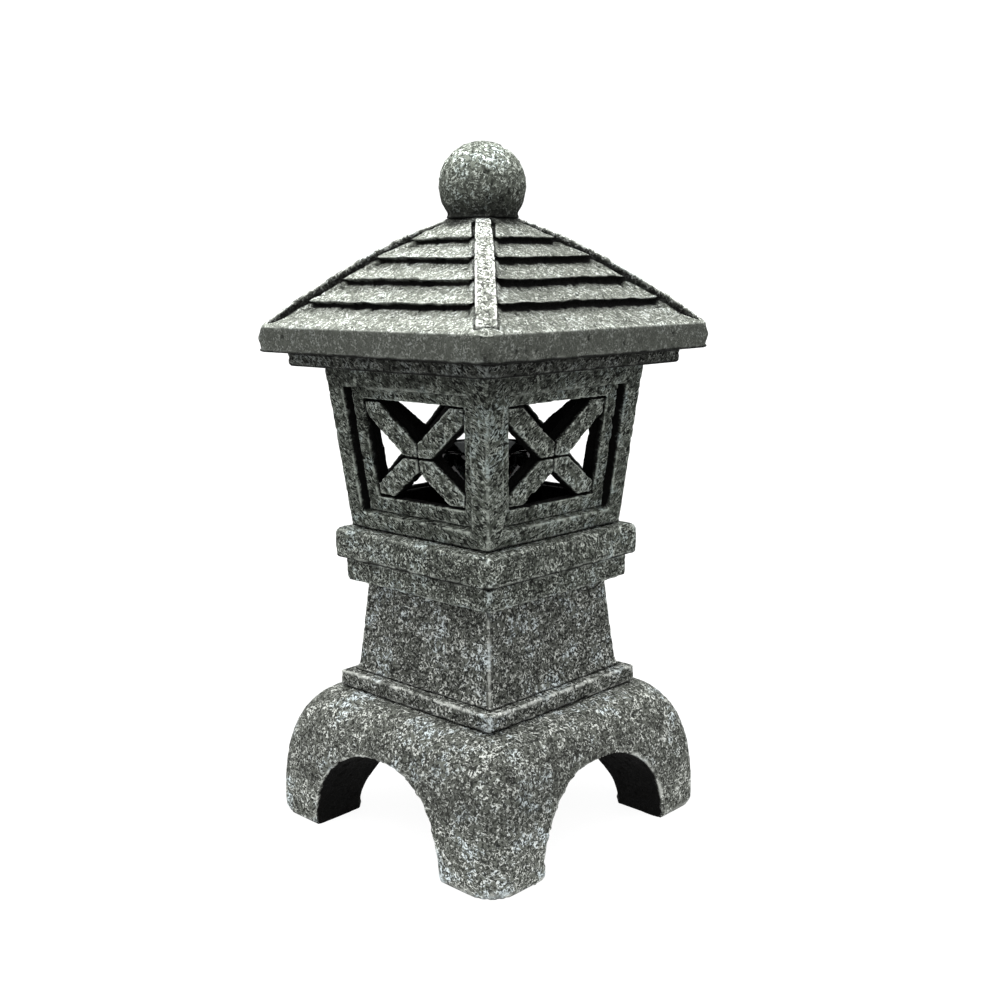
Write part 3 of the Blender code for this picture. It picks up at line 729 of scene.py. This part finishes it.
def lathe(name, profile, steps, ripple=None):
    """An outline of (radius, height) points turned about Z, its rings rippled if asked."""
    shape = bmesh.new()
    rings = []
    for radius, height in profile:
        if radius == 0:
            rings.append([shape.verts.new((0, 0, height))] * steps)
            continue
        ring = []
        for step in range(steps):
            turn = step / steps * 2 * math.pi
            here = radius + (ripple(turn, height) if ripple else 0.0)
            ring.append(shape.verts.new((here * math.cos(turn), here * math.sin(turn), height)))
        rings.append(ring)
    for lower, upper in zip(rings, rings[1:]):
        for step in range(steps):
            after = (step + 1) % steps
            corners = [lower[step], lower[after], upper[after], upper[step]]
            corners = list(dict.fromkeys(corners))
            if len(corners) > 2:
                shape.faces.new(corners)
    bmesh.ops.recalc_face_normals(shape, faces=shape.faces)
    mesh = bpy.data.meshes.new(name)
    shape.to_mesh(mesh)
    shape.free()
    mesh.shade_smooth()
    return mesh


def place_piece(name, mesh, node, material):
    mesh.materials.append(material)
    piece = bpy.data.objects.new(name, mesh)
    bpy.context.scene.collection.objects.link(piece)
    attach(piece, "tea_light")
    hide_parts(node)
    return piece


def arc(centre, radius, start, end, steps):
    """Points on an arc of (radius, height), from one angle to another in degrees."""
    angles = [math.radians(start + (end - start) * k / steps) for k in range(steps + 1)]
    return [(centre[0] + radius * math.cos(a), centre[1] + radius * math.sin(a)) for a in angles]


def build_cup(material):
    low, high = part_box("candle_cup")
    outer, wall, floor = high.x, 2.2 * MM, low.z + 3.0 * MM
    heel, lip = 2.5 * MM, 0.5 * wall
    profile = [(0, low.z + 0.6 * MM), (outer * 0.55, low.z + 0.5 * MM), (outer * 0.72, low.z)]
    profile += arc((outer - heel, low.z + heel), heel, -90, 0, 8)
    profile += [(outer, low.z + (high.z - low.z) * share) for share in (0.35, 0.6, 0.8)]
    profile += arc((outer - lip, high.z - lip), lip, 0, 180, 8)
    inner = outer - wall
    profile += [(inner, low.z + (high.z - low.z) * share) for share in (0.8, 0.6, 0.35)]
    profile += arc((inner - heel, floor + heel), heel, 0, -90, 8)
    profile += [(inner * 0.5, floor), (0, floor)]
    place_piece("candle_cup_glass", lathe("candle_cup_glass", profile, 96), "candle_cup", material)


def build_tealight_case(material):
    low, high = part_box("tealight_case")
    outer, sheet = high.x, 0.3 * MM
    body = outer - 0.5 * MM
    flutes = 48

    def fluted(turn, height):
        """Flutes on the side, fading out at the heel and gone at the rolled rim."""
        share = min(max((height - low.z) / MM, 0.0), 1.0) * (1.0 if height < high.z - MM else 0.0)
        return 0.12 * MM * share * math.cos(flutes * turn)

    profile = [(0, low.z + 0.3 * MM), (body * 0.5, low.z + 0.3 * MM), (body * 0.55, low.z)]
    profile += arc((body - MM, low.z + MM), MM, -90, 0, 5)
    profile += [(body, low.z + (high.z - low.z) * share) for share in (0.3, 0.6, 0.9)]
    profile += arc((body + 0.15 * MM, high.z - 0.35 * MM), 0.35 * MM, -60, 180, 8)
    inner = body - sheet
    profile += [(inner, high.z - 0.5 * MM), (inner, low.z + 1.2 * MM), (inner - MM, low.z + 0.6 * MM),
                (0, low.z + 0.6 * MM)]
    place_piece("tealight_case_foil", lathe("tealight_case_foil", profile, flutes * 6, fluted),
                "tealight_case", material)


def build_wax(material):
    """A cake of wax with a shallow pool in it and a thin rim."""
    low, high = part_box("wax")
    reach, rings = high.x, 24
    profile = [(0, low.z), (reach, low.z), (reach, high.z - 0.1 * MM)]
    for k in range(1, rings + 1):
        share = 1 - k / rings
        pool = 1.1 * MM * (1 - share ** 2) ** 2
        rim = 0.3 * MM * math.exp(-((1 - share) / 0.06) ** 2)
        profile.append((reach * share, high.z - 0.35 * MM - 0.55 * pool + rim))
    place_piece("wax_cake", lathe("wax_cake", profile, 96), "wax", material)


def build_wick(material):
    """A braided wick that thins at its charred tip."""
    low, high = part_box("wick")
    radius = 0.85 * (high.x - low.x) / 2
    rings, steps = 40, 16
    shape = bmesh.new()
    made = []
    for k in range(rings + 1):
        share = k / rings
        height = low.z + (high.z - low.z - 0.3 * MM) * share
        ring = []
        for step in range(steps):
            turn = step / steps * 2 * math.pi
            braid = 1 + 0.16 * math.cos(3 * turn + 40 * share)
            thin = 1 if share < 0.93 else 1 - (share - 0.93) * 7
            ring.append(shape.verts.new((radius * braid * thin * math.cos(turn),
                                         radius * braid * thin * math.sin(turn), height)))
        made.append(ring)
    for lower, upper in zip(made, made[1:]):
        for step in range(steps):
            after = (step + 1) % steps
            shape.faces.new((lower[step], lower[after], upper[after], upper[step]))
    shape.faces.new(reversed(made[0]))
    shape.faces.new(made[-1])
    mesh = bpy.data.meshes.new("wick_braid")
    shape.to_mesh(mesh)
    shape.free()
    mesh.shade_smooth()
    heights = read_points(mesh)[:, 2]
    paint(mesh, "shade_and_char", ramp(heights, high.z - 4.5 * MM, high.z - 2.5 * MM))
    place_piece("wick_braid", mesh, "wick", material)


# ---------------------------------------------------------------- studio

def build_camera():
    """A camera at the photographer's place, rolled a little about its own view."""
    place = (0.3569, -0.3642, 0.2261)
    azimuth, elevation, roll = math.radians(43.737), math.radians(10.294), math.radians(-0.518)
    back = Vector((math.sin(azimuth) * math.cos(elevation),
                   -math.cos(azimuth) * math.cos(elevation), math.sin(elevation)))
    right = Vector((math.cos(azimuth), math.sin(azimuth), 0))
    up = back.cross(right)
    rolled_right = right * math.cos(roll) + up * math.sin(roll)
    rolled_up = up * math.cos(roll) - right * math.sin(roll)
    data = bpy.data.cameras.new("camera")
    data.lens = 44.72
    data.sensor_width = 36
    camera = bpy.data.objects.new("camera", data)
    bpy.context.scene.collection.objects.link(camera)
    turned = Matrix((rolled_right, rolled_up, back)).transposed().to_4x4()
    camera.matrix_world = Matrix.Translation(place) @ turned
    bpy.context.scene.camera = camera


def build_studio():
    """A white floor, a sky that brightens upwards, and one large lamp above the front."""
    sheet = bmesh.new()
    bmesh.ops.create_grid(sheet, x_segments=8, y_segments=8, size=30)
    mesh = bpy.data.meshes.new("floor")
    sheet.to_mesh(mesh)
    sheet.free()
    mesh.materials.append(floor_material())
    floor = bpy.data.objects.new("floor", mesh)
    bpy.context.scene.collection.objects.link(floor)

    world = bpy.data.worlds.new("soft_sky")
    bpy.context.scene.world = world
    world.use_nodes = True
    nodes, links = world.node_tree.nodes, world.node_tree.links
    direction = nodes.new("ShaderNodeTexCoord")
    split = nodes.new("ShaderNodeSeparateXYZ")
    height = nodes.new("ShaderNodeMapRange")
    for name, value in (("From Min", 0.2), ("From Max", 1.0), ("To Min", 1.15), ("To Max", 2.6)):
        height.inputs[name].default_value = value
    links.new(direction.outputs["Generated"], split.inputs["Vector"])
    links.new(split.outputs["Z"], height.inputs["Value"])
    links.new(height.outputs["Result"], nodes["Background"].inputs["Strength"])
    nodes["Background"].inputs["Color"].default_value = (1, 1, 1, 1)

    softbox = bpy.data.lights.new("softbox", "AREA")
    softbox.shape = "DISK"
    softbox.size = 1.2
    softbox.energy = 11
    lamp = bpy.data.objects.new("softbox", softbox)
    bpy.context.scene.collection.objects.link(lamp)
    lamp.location = (-0.1, -0.4, 1.25)
    lamp.rotation_euler = (Vector((0, 0, 0.2)) - lamp.location).to_track_quat("-Z", "Y").to_euler()
    bpy.context.scene.view_settings.view_transform = "Standard"


# ---------------------------------------------------------------- whole lantern

build_camera()
build_studio()

foot_stone = stone_material("foot_stone", 0.057, toplight_gain=1.6, tint=1.0, worn=0.9, fine=0.95,
                            calm=0.15)
post_stone = stone_material("post_stone", 0.063, tint=0.9, worn=0.9, shift=0.31, fine=0.95)
slab_stone = stone_material("slab_stone", 0.060, tint=0.8, worn=0.9, shift=0.57, fine=0.95,
                            mossy=0.015)
box_stone = stone_material("box_stone", 0.046, tool_marks=1.0, tint=0.8, worn=0.8, shift=0.83,
                           mossy=0.025)
bar_stone = stone_material("bar_stone", 0.055, tool_marks=0.7, tint=0.4, worn=0.9, shift=1.13,
                           mossy=0.02)
cornice_stone = stone_material("cornice_stone", 0.026, tool_marks=1.0, tint=0.4, worn=0.8,
                               shift=1.37, mossy=0.01)
roof_stone = stone_material("roof_stone", 0.046, toplight_gain=3.9, tint=0.3, worn=0.9, shift=1.71,
                            fine=0.8, calm=0.65, mossy=0.005)
rib_stone = stone_material("rib_stone", 0.063, toplight_gain=3.6, tint=0.4, worn=0.9, shift=1.93,
                           fine=0.9, calm=0.2)
ball_stone = stone_material("ball_stone", 0.078, toplight_gain=2.3, tint=0.8, worn=0.9, shift=2.21,
                            calm=0.3, mossy=0.02)

build_base(foot_stone)
build_plinth(post_stone)
build_post(post_stone)
build_platforms(slab_stone)
build_light_box(box_stone)
build_windows(box_stone, bar_stone)
build_cornice(cornice_stone)
build_roof(roof_stone, rib_stone)
build_finial(ball_stone)
build_cup(glass_material())
build_tealight_case(aluminium_material())
build_wax(wax_material())
build_wick(wick_material())
